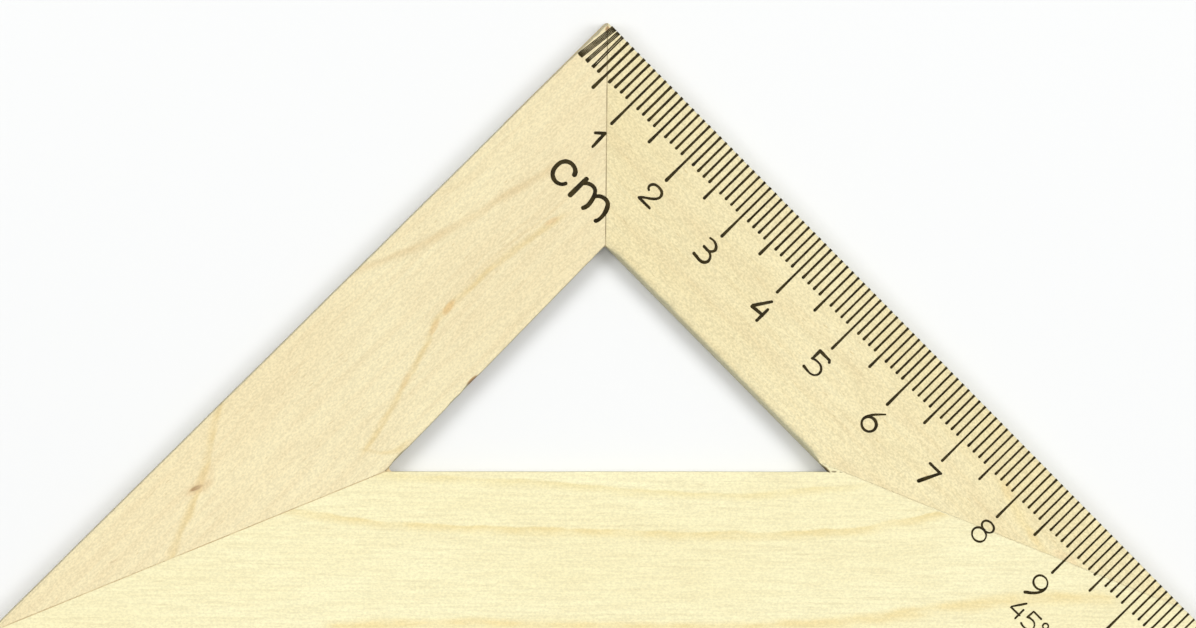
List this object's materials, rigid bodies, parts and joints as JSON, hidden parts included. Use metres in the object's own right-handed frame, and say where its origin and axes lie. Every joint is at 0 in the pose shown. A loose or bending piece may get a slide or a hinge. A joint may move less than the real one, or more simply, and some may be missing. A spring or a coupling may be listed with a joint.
{
  "type": "set square",
  "caption": "Flat wooden 45-degree set square with mitred, keyed corners, a triangular window and a centimetre scale printed along a leg.",
  "frame": {"origin": "centre of the bounding box, on the underside", "axes": "+X along the long edge, towards the end of the scale; +Y from the long edge to the right-angled tip; +Z out of the printed face"},
  "size_m": [0.1544, 0.0776, 0.003],
  "materials": {
    "plain_leg_wood": "sanded, unvarnished",
    "scale_leg_wood": "sanded, unvarnished",
    "base_wood": "sanded, unvarnished",
    "key_wood": "sanded, unvarnished",
    "glue": "dried wood glue",
    "ink": "matt printing ink"
  },
  "bodies": {
    "root": {"plain_leg_strip": "plain_leg_wood", "scale_leg_strip": "scale_leg_wood", "base_strip": "base_wood", "right_angle_key": "key_wood", "plain_corner_key": "key_wood", "scale_corner_key": "key_wood", "right_angle_glue": "glue", "plain_corner_glue": "glue", "scale_corner_glue": "glue", "millimetre_marks": "ink", "half_centimetre_marks": "ink", "centimetre_marks": "ink", "numeral_1": "ink", "numeral_2": "ink", "numeral_3": "ink", "numeral_4": "ink", "numeral_5": "ink", "numeral_6": "ink", "numeral_7": "ink", "numeral_8": "ink", "numeral_9": "ink", "unit_sign": "ink", "angle_sign": "ink"}
  },
  "joints": []
}
